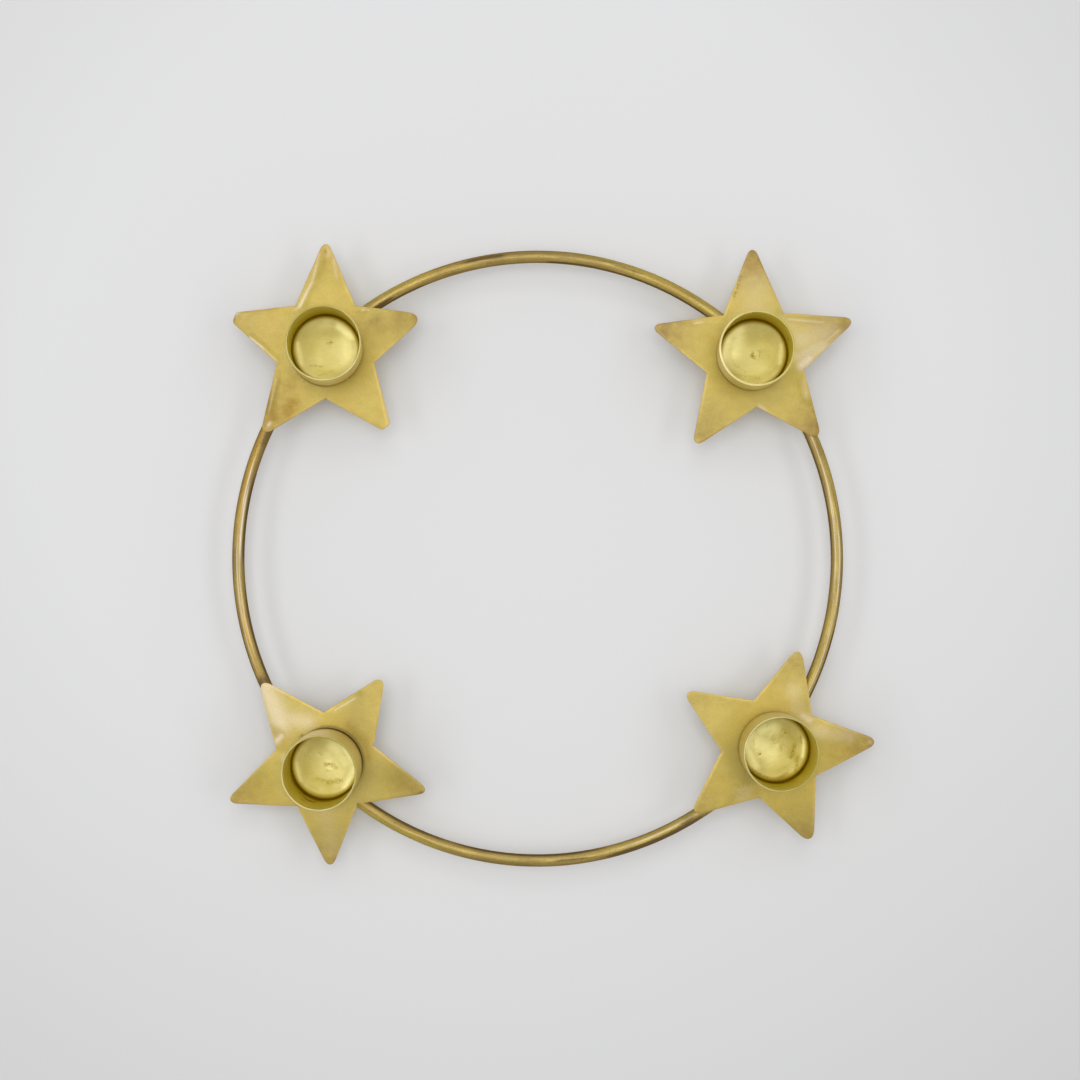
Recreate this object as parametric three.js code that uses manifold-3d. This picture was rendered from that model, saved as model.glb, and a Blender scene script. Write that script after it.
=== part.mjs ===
// Candle ring: a round rod ring on four feet carries four pressed star plates, each with a deep-drawn cup
// for a dinner candle. Millimetres, +Z up. It stands on z = 0 with the origin under the middle of its box.
import * as THREE from "three";
import { mergeVertices } from "three/addons/utils/BufferGeometryUtils.js";
import Module from "manifold-3d";

const wasm = await Module();
wasm.setup();

// Ring and feet
const ROD_DIAMETER = 4;
const RING_DIAMETER = 197; // across the rod's centreline
const HEIGHT_UNDER_ROD = 8;
const FOOT_DIAMETER = 6;
const FOOT_EDGE_ROUND = 0.8;

// Candle cup
const CANDLE_DIAMETER = 22;
const CANDLE_CLEARANCE = 0.3; // all round the candle
const CUP_WALL = 0.6;
const CUP_HEIGHT = 22;
const CUP_CORNER_RADIUS = 2; // inside, where the wall turns into the bottom

// Star plate
const STAR_POINT_RADIUS = 35.7; // where the two straight edges of an arm would meet
const STAR_NOTCH_RADIUS = 16.75;
const STAR_TIP_ROUND = 1.9;
const STAR_SHEET = 0.8;
const EDGE_ROLL_WIDTH = 2; // the blanked edge rolls down over this width
const EDGE_ROLL_DEPTH = 0.4;
const ARM_DROOP = 1; // how far a free arm bends down at its tip
const DROOP_BLEND = 5; // width over which the sheet goes from level beside the rod to its full droop

// Brazed joint between rod and star plate
const BRAZE_LENGTH = 16;
const BRAZE_LEG = 1.6; // how far the fillet reaches along the plate from the rod's side
const BRAZE_HOLLOW = 0.4; // depth of its hollow face
const BRAZE_LOW_ANGLE = 8; // where it ends on the rod, in degrees above the rod's middle
const BRAZE_HIGH_ANGLE = 60;

const SEAT_GAP = 0.15; // left between a curved seat and what it carries

// Where each star sits: its bearing seen from the ring's centre, how far it lies inside the rod's centreline,
// the direction of one arm, and the cup's shift from the star's centre. The hand-set pieces differ a little.
const SITES = [
  { name: "rear_left", bearing: 135, inset: 1, armAngle: 90, cupShift: [1.9, -1] },
  { name: "rear_right", bearing: 43, inset: 1.4, armAngle: 92, cupShift: [-1.9, 0.1] },
  { name: "front_right", bearing: -38.8, inset: 0, armAngle: 75.3, cupShift: [0, 0.6] },
  { name: "front_left", bearing: -135.9, inset: 2.6, armAngle: 56.4, cupShift: [0.4, -0.4] },
];

// Smoothness of the round forms
const RING_STEPS = 96;
const ROD_SIDES = 12;
const CUP_SEGMENTS = 36;
const CORNER_STEPS = 4;
const FOOT_SEGMENTS = 24;
const TIP_STEPS = 6;
const EDGE_STEPS = 3;
const INNER_ROWS = [0.58, 0.82, 1]; // rows of the plate's mesh, as shares of the way out to the edge roll
const ROLL_ROWS = [0.6, 1]; // and as shares of the edge roll's width
const BRAZE_STEPS = 6;
const HOLLOW_STEPS = 3;

// Sizes that follow
const ringRadius = RING_DIAMETER / 2;
const rodRadius = ROD_DIAMETER / 2;
const rodMiddle = HEIGHT_UNDER_ROD + rodRadius;
const plateUnderside = rodMiddle + rodRadius + SEAT_GAP;
const plateTop = plateUnderside + STAR_SHEET;
const brazeReach = rodRadius + SEAT_GAP + BRAZE_LEG; // from the rod's centreline, along the plate
const cupInside = CANDLE_DIAMETER / 2 + CANDLE_CLEARANCE;
const cupOutside = cupInside + CUP_WALL;

const ARMS = 5;
const armStep = (2 * Math.PI) / ARMS;
const tipHalfAngle = Math.atan2(
  STAR_NOTCH_RADIUS * Math.sin(armStep / 2),
  STAR_POINT_RADIUS - STAR_NOTCH_RADIUS * Math.cos(armStep / 2),
);
const tipArcCentre = STAR_POINT_RADIUS - STAR_TIP_ROUND / Math.sin(tipHalfAngle);
const armReach = tipArcCentre + STAR_TIP_ROUND;
const edgeDistance = STAR_POINT_RADIUS * Math.sin(tipHalfAngle); // from the star's centre to an edge's line

const brass = new THREE.MeshStandardMaterial({ color: 0xcdb055, metalness: 1, roughness: 0.42 });
const cupBrass = new THREE.MeshStandardMaterial({ color: 0xd4c060, metalness: 1, roughness: 0.35 });
const agedBrass = new THREE.MeshStandardMaterial({ color: 0x9c8148, metalness: 1, roughness: 0.4 });
const brazeBrass = new THREE.MeshStandardMaterial({ color: 0xb79a4c, metalness: 1, roughness: 0.5 });

const polar = (radius, angle) => [radius * Math.cos(angle), radius * Math.sin(angle)];
const radians = THREE.MathUtils.degToRad;

// Points on an arc from one angle to another, both ends included.
function arc(cx, cy, radius, from, to, steps) {
  return Array.from({ length: steps + 1 }, (_, i) => {
    const [x, y] = polar(radius, from + ((to - from) * i) / steps);
    return [cx + x, cy + y];
  });
}

function named(name, geometry, material) {
  const mesh = new THREE.Mesh(geometry, material);
  mesh.name = name;
  return mesh;
}

// A solid of revolution about Z from a profile of [radius, height], which starts and ends on the axis.
function turned(profile, segments) {
  const points = profile.map(([r, z]) => new THREE.Vector2(r, z));
  return new THREE.LatheGeometry(points, segments).rotateX(Math.PI / 2);
}

function toSolid(geometry) {
  const bare = geometry.clone();
  bare.deleteAttribute("normal");
  bare.deleteAttribute("uv");
  const merged = mergeVertices(bare);
  const mesh = new wasm.Mesh({
    numProp: 3,
    vertProperties: new Float32Array(merged.attributes.position.array),
    triVerts: new Uint32Array(merged.index.array),
  });
  return new wasm.Manifold(mesh);
}

function toGeometry(solid) {
  const mesh = solid.getMesh();
  const geometry = new THREE.BufferGeometry();
  geometry.setAttribute("position", new THREE.BufferAttribute(mesh.vertProperties, 3));
  geometry.setIndex(new THREE.BufferAttribute(mesh.triVerts, 1));
  geometry.computeVertexNormals();
  return geometry;
}

// A closed mesh from rings of equally many points: the side walls between them, and a cap at each end.
function lofted(rings, startCap, endCap) {
  const count = rings[0].length;
  const index = [];
  for (let j = 0; j + 1 < rings.length; j++) {
    for (let i = 0; i < count; i++) {
      const next = (i + 1) % count;
      const a = j * count + i;
      const b = j * count + next;
      index.push(a, b, b + count, a, b + count, a + count);
    }
  }
  const last = (rings.length - 1) * count;
  for (const [a, b, c] of startCap) index.push(a, c, b);
  for (const [a, b, c] of endCap) index.push(last + a, last + b, last + c);
  const geometry = new THREE.BufferGeometry();
  geometry.setAttribute("position", new THREE.Float32BufferAttribute(rings.flat(2), 3));
  geometry.setIndex(index);
  geometry.computeVertexNormals();
  return geometry;
}

// A round rod bent to a closed ring, centred on the origin at the height of its own middle.
function rodRing(radius) {
  return new THREE.TorusGeometry(ringRadius, radius, ROD_SIDES, RING_STEPS);
}

function ring() {
  const mesh = named("ring", rodRing(rodRadius), agedBrass);
  mesh.position.z = rodMiddle;
  return mesh;
}

// A peg under the rod: its top is notched to the rod, and its lower edge is rounded.
function foot(site) {
  const flat = FOOT_DIAMETER / 2 - FOOT_EDGE_ROUND;
  const profile = [
    [0, 0],
    ...arc(flat, FOOT_EDGE_ROUND, FOOT_EDGE_ROUND, -Math.PI / 2, 0, CORNER_STEPS),
    [FOOT_DIAMETER / 2, rodMiddle],
    [0, rodMiddle],
  ];
  const [x, y] = polar(ringRadius, radians(site.bearing));
  const peg = toSolid(turned(profile, FOOT_SEGMENTS)).translate([x, y, 0]);
  const rod = toSolid(rodRing(rodRadius + SEAT_GAP)).translate([0, 0, rodMiddle]);
  return named(`foot_${site.name}`, toGeometry(peg.subtract(rod)), agedBrass);
}

// The star's outline, anticlockwise from the notch before the first arm. Edges are straight, tips are round.
function starOutline(turn) {
  const points = [];
  for (let arm = 0; arm < ARMS; arm++) {
    const direction = turn + arm * armStep;
    const notch = polar(STAR_NOTCH_RADIUS, direction - armStep / 2);
    const nextNotch = polar(STAR_NOTCH_RADIUS, direction + armStep / 2);
    const halfArc = Math.PI / 2 - tipHalfAngle;
    const [cx, cy] = polar(tipArcCentre, direction);
    const tip = arc(cx, cy, STAR_TIP_ROUND, direction - halfArc, direction + halfArc, TIP_STEPS);
    const along = (from, to, i) => from.map((v, k) => v + ((to[k] - v) * i) / EDGE_STEPS);
    for (let i = 0; i < EDGE_STEPS; i++) points.push(along(notch, tip[0], i));
    points.push(...tip);
    for (let i = 1; i < EDGE_STEPS; i++) points.push(along(tip[TIP_STEPS], nextNotch, i));
  }
  return points;
}

// How far the pressed sheet lies below its flat middle. The free arms bend down towards their tips, an arm
// that lies on the rod stays level, and the edge rolls down.
function sheetDrop(x, y, share, ringCentre) {
  const inset = edgeDistance * (1 - share);
  const roll = Math.max(0, 1 - inset / EDGE_ROLL_WIDTH);
  const out = (Math.hypot(x, y) - STAR_NOTCH_RADIUS) / (armReach - STAR_NOTCH_RADIUS);
  const offRod = Math.abs(Math.hypot(x - ringCentre[0], y - ringCentre[1]) - ringRadius);
  const rollFree = THREE.MathUtils.smoothstep(offRod, rodRadius, brazeReach);
  const droopFree = THREE.MathUtils.smoothstep(offRod, brazeReach, brazeReach + DROOP_BLEND);
  return EDGE_ROLL_DEPTH * roll ** 2 * rollFree + ARM_DROOP * Math.max(0, out) ** 2 * droopFree;
}

// A star pressed from sheet. Scaling its outline insets every edge alike, so the rows follow the edges.
function starPlate(site, centre) {
  const outline = starOutline(radians(site.armAngle));
  const rollStart = 1 - EDGE_ROLL_WIDTH / edgeDistance;
  const shares = [
    ...INNER_ROWS.map((t) => t * rollStart),
    ...ROLL_ROWS.map((t) => rollStart + t * (1 - rollStart)),
  ];
  const ringCentre = [-centre[0], -centre[1]];
  const row = (share, height) =>
    outline.map(([x, y]) => {
      const [px, py] = [x * share, y * share];
      return [px, py, height - sheetDrop(px, py, share, ringCentre)];
    });
  const under = shares.map((share) => row(share, 0));
  const over = shares.map((share) => row(share, STAR_SHEET)).reverse();
  const middle = THREE.ShapeUtils.triangulateShape(
    outline.map(([x, y]) => new THREE.Vector2(x, y)),
    [],
  );
  const mesh = named(`star_plate_${site.name}`, lofted([...under, ...over], middle, middle), brass);
  mesh.position.set(centre[0], centre[1], plateUnderside);
  return mesh;
}

// A deep-drawn cup: one wall thickness throughout, a rounded corner at the bottom and a rounded rim.
function candleCup(site, centre) {
  const corner = CUP_CORNER_RADIUS;
  const outerCorner = corner + CUP_WALL;
  const rim = CUP_WALL / 2;
  const profile = [
    [0, 0],
    ...arc(cupInside - corner, outerCorner, outerCorner, -Math.PI / 2, 0, CORNER_STEPS),
    ...arc(cupInside + rim, CUP_HEIGHT - rim, rim, 0, Math.PI, CORNER_STEPS),
    ...arc(cupInside - corner, outerCorner, corner, 0, -Math.PI / 2, CORNER_STEPS),
    [0, CUP_WALL],
  ];
  const mesh = named(`candle_cup_${site.name}`, turned(profile, CUP_SEGMENTS), cupBrass);
  const [dx, dy] = site.cupShift;
  mesh.position.set(centre[0] + dx, centre[1] + dy, plateTop);
  return mesh;
}

// The section of a brazing fillet beside the rod, as [distance from the rod's centreline, height above it].
function brazeSection() {
  const clear = rodRadius + SEAT_GAP;
  const top = plateUnderside - rodMiddle;
  const onRod = arc(0, 0, clear, radians(BRAZE_LOW_ANGLE), radians(BRAZE_HIGH_ANGLE), CORNER_STEPS);
  const low = new THREE.Vector2(...onRod[0]);
  const outer = new THREE.Vector2(brazeReach, top);
  const chord = outer.clone().sub(low).normalize();
  const inward = new THREE.Vector2(-chord.y, chord.x);
  const control = low.clone().lerp(outer, 0.5).addScaledVector(inward, 2 * BRAZE_HOLLOW);
  const face = new THREE.QuadraticBezierCurve(outer, control, low).getPoints(HOLLOW_STEPS).slice(0, -1);
  return [...onRod, [onRod[CORNER_STEPS][0], top], ...face.map((p) => [p.x, p.y])];
}

// A brazing fillet in the corner between the rod and the plate, on the outer (1) or the inner (-1) side.
function brazeFillet(site, side, sign) {
  const section = sign > 0 ? brazeSection() : brazeSection().toReversed();
  const half = BRAZE_LENGTH / 2 / ringRadius;
  const rows = Array.from({ length: BRAZE_STEPS + 1 }, (_, i) => {
    const angle = radians(site.bearing) - half + (2 * half * i) / BRAZE_STEPS;
    return section.map(([x, z]) => [...polar(ringRadius + sign * x, angle), z]);
  });
  const flat = section.map(([x, z]) => new THREE.Vector2(-sign * x, z));
  const cap = THREE.ShapeUtils.triangulateShape(flat, []);
  const mesh = named(`braze_${side}_${site.name}`, lofted(rows, cap, cap), brazeBrass);
  mesh.position.z = rodMiddle;
  return mesh;
}

const holder = new THREE.Group();
holder.add(ring());
for (const site of SITES) {
  const centre = polar(ringRadius - site.inset, radians(site.bearing));
  holder.add(foot(site), starPlate(site, centre), candleCup(site, centre));
  holder.add(brazeFillet(site, "outer", 1), brazeFillet(site, "inner", -1));
}

// The origin goes under the middle of the whole piece.
const middle = new THREE.Box3().setFromObject(holder, true).getCenter(new THREE.Vector3());
holder.position.set(-middle.x, -middle.y, 0);

const candleRing = new THREE.Group();
candleRing.add(holder);
export default candleRing;
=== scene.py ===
# A brass candle ring: four star plates with candle cups on a round rod ring, seen from straight above.
import math

import bmesh
import bpy
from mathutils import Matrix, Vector


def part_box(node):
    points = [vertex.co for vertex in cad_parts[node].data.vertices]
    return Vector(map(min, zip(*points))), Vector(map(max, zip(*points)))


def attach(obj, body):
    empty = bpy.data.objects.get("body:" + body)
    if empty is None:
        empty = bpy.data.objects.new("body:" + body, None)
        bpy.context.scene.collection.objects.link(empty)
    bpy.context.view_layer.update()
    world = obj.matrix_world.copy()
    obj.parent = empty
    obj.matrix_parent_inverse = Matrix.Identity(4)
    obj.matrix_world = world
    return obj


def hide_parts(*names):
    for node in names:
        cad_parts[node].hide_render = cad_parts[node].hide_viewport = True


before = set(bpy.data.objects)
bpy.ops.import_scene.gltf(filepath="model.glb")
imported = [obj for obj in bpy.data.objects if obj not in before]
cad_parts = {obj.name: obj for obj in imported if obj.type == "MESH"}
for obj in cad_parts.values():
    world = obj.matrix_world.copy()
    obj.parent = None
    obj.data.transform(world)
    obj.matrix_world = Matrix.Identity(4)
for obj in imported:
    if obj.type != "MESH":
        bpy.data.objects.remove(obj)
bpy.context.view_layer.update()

MM = 0.001
SMOOTH_BELOW = math.radians(35)
STROKE_FALL = 1.5  # how fast a painted stroke fades beside its line

# Places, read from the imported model
ring_low, ring_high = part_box("ring")
RING_CENTRE = (ring_low + ring_high) / 2
ROD_RADIUS = (ring_high.z - ring_low.z) / 2
RING_RADIUS = (ring_high.x - ring_low.x) / 2 - ROD_RADIUS
RING_OVAL = Vector((0.9945, 1.003, 1))  # the rod was bent by hand
RING_SHIFT = Vector((0.2, 0, 0)) * MM

# The star plate, as pressed
STAR_POINT = 35.7 * MM  # where the two edges of an arm would meet
STAR_NOTCH = 16.75 * MM
TIP_STEPS = 10
BLUNT_ROUND = 0.9 * MM
EDGE_CUTS = 25
STAR_SHEET = 0.8 * MM
ROLL_WIDTH = 1.1 * MM
ROLL_DEPTH = 0.16 * MM
ROLL_STEPS = 5
INNER_ROWS = 38
ARMS = 5
ARM_STEP = 2 * math.pi / ARMS
ARM_TURN = 360 / ARMS
TIP_HALF = math.atan2(STAR_NOTCH * math.sin(ARM_STEP / 2),
                      STAR_POINT - STAR_NOTCH * math.cos(ARM_STEP / 2))
EDGE_LINE = STAR_POINT * math.sin(TIP_HALF)  # from the star's centre to the line of an edge
ARM_END = STAR_POINT - 2.8 * MM
ARM_PRESS = ARM_END - 1 * MM  # where an arm's end is bent down
CLEAR_OF_ROD = 3 * ROD_RADIUS
ARM_DROOP = 0.9 * MM
DROOP_REACH = 15 * MM
PRESS_LINE = 0.7 * MM  # how near a point lies to the line that is pressed
PLATE_EDGE = 0.12 * MM  # how far the sheet's sharp edges are broken
# Where a plate's looks change, in mm
# The band of edge colour and painted edge highlight
EDGE_BAND = (0.2, 0.9)
TIP_FROM = 17
TIP_FADE = 14
# A painted shade spot in each notch: its reach and strength
NOTCH_REACH = 0.55
NOTCH_SHADE = 0.45
PATINA_BAND = (13.6, 12.1)  # from the cup's axis
# A painted shade line round the cup's foot, in mm from its axis
FOOT_SHADE_BAND = (12.2, 12.0)
CONTACT_LEAST = 0.06

# Each star's place and its marks. Places on a star are in mm from its centre, bearings in degrees.
# inset: how far inside the rod's middle line it sits; arm: the direction of its first arm
# lean: how far the cup's foot stands beside its rim; pip: the spot weld's place from the rim's middle
# points: (how much longer, how far aside) each arm's end is; cuts: where each tip's rounding starts
# bends: (arm's bearing, drop in mm); presses: (start, end, drop, reach), where the sheet was knocked down
# tips: how brown each arm's end is, counter-clockwise from the first arm
# rust, dirt, painted highlight and painted shade strokes: (x0, y0, x1, y1, width, strength)
# blunt: the arms whose end is cut off straight
# contact, pale: (bearing, half width, strength) of the painted shade line and stain at the cup's foot and of
# a painted highlight on its outside
# rim: the bearing at which the cup's rim is brightest; away from it the rim is painted in shade
# crease: (bearing, half width, how much wider the painted shade round the bottom's crease is there, in mm)
STARS = {
    "rear_left": {
        "inset": 1 * MM, "arm": 90, "lean": (-1.45, 0.1), "pip": (-0.65, 2.5),
        "points": [(0.7, 0), (-0.5, 0), (1, 0), (0.9, 0.8), (-0.8, 0)], "cuts": [5, 4.3, 5, 4.2, 6.6],
        "blunt": [1, 3],
        "bends": [(162, 0.9), (306, -0.4)],
        "presses": [((-9.3, 13.8), (-3.4, 27.6), 0.4, 3.6), ((-16.5, -4.4), (-24, 2.4), 0.25, 2),
                    ((-16.6, -9), (-18.2, -17.5), 0.25, 2.2), ((10.3, 13), (12.5, 12.9), 0.3, 2.4)],
        "tips": [0.3, 0.3, 0.5, 0.1, 0.45],
        "rust": [(-26, 9, -16, 4, 6, 0.12), (-18.5, -17, -17.5, -23, 3.8, 1),
                 (-12.8, -21, -11, -18.5, 3.4, 0.9), (-15.5, -12, -17, -16, 1.8, 0.5),
                 (-12, -13, -16, -24, 6, 0.35), (16.5, 8, 19, 6, 5, 0.35), (24, 9.5, 30, 9, 3.5, 0.5),
                 (-30, 12.2, -16, 13.4, 1.5, 0.5)],
        "dirt": [(0, 31.3, 0, 31.3, 0.45, 0.9), (-0.6, 30, -0.4, 26.5, 1, 0.12),
                 (15, 8.2, 17, 8.8, 1.6, 0.25), (-29.8, 8.5, -29.8, 10.5, 0.5, 0.6)],
        "bloom": [(-26, 11, -18, 6, 5, 0.05), (-8.4, 13.2, -4.4, 21.2, 0.65, 0.85),
                  (-4.4, 21.2, -3, 26.8, 0.6, 0.6), (-2.9, 27, -2.2, 30.5, 0.6, 0.35),
                  (2.6, 28.5, 3.6, 23, 0.7, 0.3), (0.8, 31.5, 1, 30, 0.8, 0.3),
                  (-9.8, 12.2, -8.8, 13.2, 0.6, 0.5), (-15.9, -4.4, -20.2, -0.4, 0.32, 0.5),
                  (-20.2, -0.4, -24.6, 3.2, 0.42, 0.95), (-16.1, -10.5, -18.4, -21, 0.35, 0.28),
                  (-18.5, -25.4, -18.1, -24.9, 0.8, 0.6), (-29.4, 10.4, -28, 11.4, 0.6, 0.6),
                  (11.9, 12.1, 14.4, 12.2, 0.35, 0.6)],
        "dull": [(17, 7.5, 26, 8.5, 5, 0.35), (-16, -14, -18, -20, 5, 0.3)],
        "contact": (232, 75, 0.4), "rim": 300, "pale": (300, 30, 0.1),
        "crease": [(140, 40, -0.5)],
    },
    "rear_right": {
        "inset": 1.4 * MM, "arm": 92, "lean": (1.1, 0.25), "pip": (1.8, -0.1),
        "points": [(1.4, -0.4), (0.6, 0), (1.4, 0), (0.2, 0), (0.5, 0)], "cuts": [4.8, 4.4, 5.2, 5.2, 5],
        "blunt": [],
        "bends": [(92, -0.6), (236, -0.5), (20, 0.3)],
        "presses": [((16.5, -4.4), (19, -2), 0.4, 7), ((18.5, -2), (27, 6.3), 0.25, 3),
                    ((9.9, 13.7), (23.5, 12.9), 0.3, 3.1), ((16.3, -6), (17.8, -13.5), 0.25, 3.2),
                    ((-20.5, 11.8), (-15.5, 12.5), 0.25, 3), ((-5, 25.8), (-5, 25.8), 0.2, 0.9),
                    ((-5.7, 23.4), (-5.7, 23.4), 0.25, 0.9), ((-6.5, 21), (-6.5, 21), 0.25, 0.9)],
        "tips": [0.75, 0.9, 0.55, 0.8, 0.7],
        "rust": [(-1, 27, 0, 30, 5, 0.3), (21, -23, 19, -18, 5, 0.3)],
        "dirt": [(-4.7, 25.8, -4.7, 25.8, 0.35, 0.8), (-5.1, 24.5, -5.1, 24.5, 0.4, 0.8),
                 (-5.5, 23.2, -5.5, 23.2, 0.4, 0.9), (-5.9, 21.9, -5.9, 21.9, 0.4, 0.9),
                 (-6.3, 20.6, -6.3, 20.6, 0.4, 0.8), (-6.7, 19.3, -6.7, 19.3, 0.35, 0.7)],
        "bloom": [(15, 5, 23, 7.5, 5.5, 0.42), (0, 15, 0, 23, 6, 0.2), (12.8, -0.2, 16, -0.8, 2.4, 0.5),
                  (8.5, 11.5, 12, 9, 3, 0.22), (15.4, -3.2, 17.6, -0.8, 2.1, 1),
                  (16.5, 0, 22, 3.4, 3.2, 0.65), (22, 3.4, 27, 8, 0.6, 0.6),
                  (11, 11.8, 22.5, 10.8, 0.5, 0.65), (16, -8.5, 16.6, -13.5, 1.2, 0.25),
                  (-19.7, 10.5, -17.2, 10.9, 0.4, 0.55), (1.5, -16.4, 3.2, -17.8, 1, 0.3)],
        "dull": [(-14, -19, -17, -24, 5, 0.3), (17, -16, 20, -24, 5, 0.15)],
        "contact": (240, 60, 0.15), "rim": 205, "pale": (205, 30, 0.25),
        "crease": [(40, 30, -0.5)],
    },
    "front_right": {
        "inset": 0 * MM, "arm": 75.3, "lean": (0.6, -0.42), "pip": (0.3, 2.7),
        "points": [(-0.4, -0.4), (-0.2, 0), (-0.3, 0), (-0.3, 0.8), (0.5, 0)], "cuts": [5.4, 5, 5, 6.2, 5.2],
        "blunt": [],
        "bends": [(147.3, 0.3), (3.3, 0.3)],
        "presses": [((12.9, 10.6), (12.9, 10.6), 0.5, 7.5), ((-5.5, -16.5), (-12, -18.3), 0.3, 3.6)],
        "tips": [0.45, 0.3, 0.35, 0.65, 0.7],
        "rust": [(20, -1.5, 27, 0, 4, 0.22)],
        "dirt": [(-11, -13, -8, -11, 4, 0.2)],
        "bloom": [(6.6, 12.8, 10, 10.8, 1.1, 0.35), (9.8, 10.6, 12, 9.2, 1.6, 0.65),
                  (6.8, 19, 9, 12.5, 3, 0.25), (-10.4, -15.4, -8.4, -14.4, 2.4, 0.28),
                  (31.6, 2.2, 32.2, 1.6, 0.5, 0.4), (14, 5.5, 25, 4.2, 3, 0.3)],
        "dull": [(-9, -10, -12, -8, 3, 0.35), (-13, 0, -12, -8, 4, 0.35)],
        "contact": (172, 30, 0.2), "rim": 165, "pale": (60, 35, 0.5),
        "crease": [(280, 28, 0.5)],
    },
    "front_left": {
        "inset": 2.6 * MM, "arm": 56.4, "lean": (-0.2, 0.05), "pip": (0.8, -0.35),
        "points": [(-0.5, 0), (0.3, 0), (0.4, 0.6), (0.1, 0), (0.3, 0)], "cuts": [5, 5.2, 4.8, 5, 4.6],
        "blunt": [],
        "bends": [(200.4, 0.4), (344.4, 0.4)],
        "presses": [((-17.2, 8.2), (-16.6, 5), 0.45, 4.2), ((-2, 19.5), (-10, 24), -0.5, 8),
                    ((3, 18.4), (10, 22.3), 0.25, 1.9)],
        "tips": [0.2, 0.05, 0.5, 0.55, 0.6],
        "rust": [(24, -6, 29, -9, 3, 0.3), (7.5, 12.5, 12.5, 7, 1.8, 0.45), (12.5, 7, 14, 2, 1.2, 0.3)],
        "dirt": [(-13.6, 9.9, -9.8, 11.6, 0.4, 0.12), (30.6, -9.8, 31.4, -9.2, 0.5, 0.7),
                 (-8.4, 8.6, -7.4, 9.4, 0.35, 0.8)],
        "bloom": [(-20, 24, -14.5, 13.5, 4.6, 0.72), (-14, 15, -6, 13.5, 3.6, 0.5),
                  (0, -16, 2, -27, 4, 0.16), (-15.9, 7.3, -14.4, 9, 1.2, 1),
                  (-15, 9, -11.5, 11.5, 1.6, 0.35), (-13.6, 3.2, -13.8, 0.6, 0.8, 0.35),
                  (3.2, 17.6, 9.5, 21.2, 0.4, 0.5)],
        "dull": [(10, 8, 10, 22, 6, 0.45), (12, -2, 26, -6, 6, 0.35)],
        "contact": (50, 80, 1), "rim": 235, "pale": (112, 34, 0.75),
        "crease": [(262, 30, 0.45), (170, 25, -0.3)],
    },
}

# The rod
RING_SEGMENTS = 480
ROD_SIDES = 72
MARK_CORE = 0.6  # the part of a mark's half length that has its full strength
HEAT_REACH = 42  # how far the torch browned the rod beside a star, in mm
HEAT_FADE = 14
# Marks along the rod: (first and last bearing, place across from -1 inside to 1 outside, width, strength)
# Sharp dark marks
ROD_MARKS = [(96, 104, 0.4, 0.4, 0.8), (78, 88, -0.9, 0.2, 0.9), (69, 76, 0.1, 0.3, 0.6),
             (112, 128, -0.9, 0.2, 0.7), (119, 127, -0.55, 0.35, 0.85), (124, 128, -0.2, 0.9, 0.6),
             (164, 180, -0.9, 0.2, 0.95), (255, 282, -0.9, 0.2, 0.8), (273, 280, 0, 0.3, 0.65),
             (284, 302, 0.62, 0.5, 1), (298, 302, 0, 1, 0.6), (-30, -13, 0.8, 0.3, 0.75),
             (-30, -13, -0.95, 0.15, 0.6), (0, 27, -0.92, 0.18, 0.65), (54, 80, -0.92, 0.18, 0.85),
             (186, 206, -0.9, 0.22, 0.75), (190, 206, 0.9, 0.2, 0.75), (203, 208, 0, 1.2, 0.85),
             (230, 252, -0.85, 0.25, 0.66), (152, 158, -0.4, 0.9, 0.6)]
# Soft dark marks
ROD_SHADES = [(84, 94, 0.3, 0.7, 0.4), (178, 183, 0.2, 0.8, 0.6), (200, 212, -0.3, 0.6, 0.4),
              (240, 250, -0.3, 0.4, 0.2), (346, 358, 0.85, 0.3, 0.4), (80, 104, 0.35, 0.6, 0.5),
              (255, 300, 0.7, 0.35, 0.5), (150, 170, -0.6, 0.5, 0.7), (150, 172, 0.8, 0.3, 0.5),
              (20, 28, 0.2, 0.6, 0.4)]
# Thin pale lines where the rod's lacquer shines
ROD_SHINE = [(162, 170, -0.1, 0.08, 0.8), (167, 179, -0.4, 0.14, 1), (177, 190, 0.1, 0.09, 0.6),
             (181, 197, -0.3, 0.09, 0.5), (188, 200, 0.25, 0.08, 0.5), (9, 26, -0.2, 0.06, 0.65),
             (-4, 12, -0.4, 0.08, 0.7), (-9, 6, 0.3, 0.1, 0.8), (-28, -12, 0.15, 0.08, 0.75),
             (40, 52, 0.1, 0.1, 0.35), (288, 300, -0.35, 0.12, 0.4)]
# Where the rod is plain yellow brass up to its edge
ROD_GILT = [(54, 80, 0.75, 0.4, 0.8), (54, 72, -0.5, 0.35, 0.6), (110, 128, 0.8, 0.35, 0.8),
            (154, 170, 0.85, 0.3, 0.5), (9, 27, 0.7, 0.4, 0.55), (-30, -13, -0.45, 0.4, 0.6),
            (288, 296, 1, 0.2, 0.8), (284, 300, -0.6, 0.4, 0.5), (226, 252, 0.5, 0.6, 0.9)]
# Where the rod's lacquer is warm and bright
ROD_WARM = [(152, 171, 0.15, 0.35, 0.95), (189, 206, -0.05, 0.3, 0.8), (205, 216, 0.3, 0.5, 0.4),
            (60, 72, 0.1, 0.8, 0.3), (98, 116, 0.4, 0.5, 0.4)]

# The cup
CUP_WALL = 0.6 * MM
CUP_CORNER = 1.15 * MM  # inside
CUP_SIDES = 144
CORNER_STEPS = 9
WALL_STEPS = 12
DISH_RISE = 0.16 * MM  # the bottom is a little dished
DISH_FLAT = 7.2 * MM
DISH_STEPS = 9
BOTTOM_STEPS = 16
CUP_EDGE = 0.22 * MM
DENT_LINE = 0.35 * MM
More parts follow.
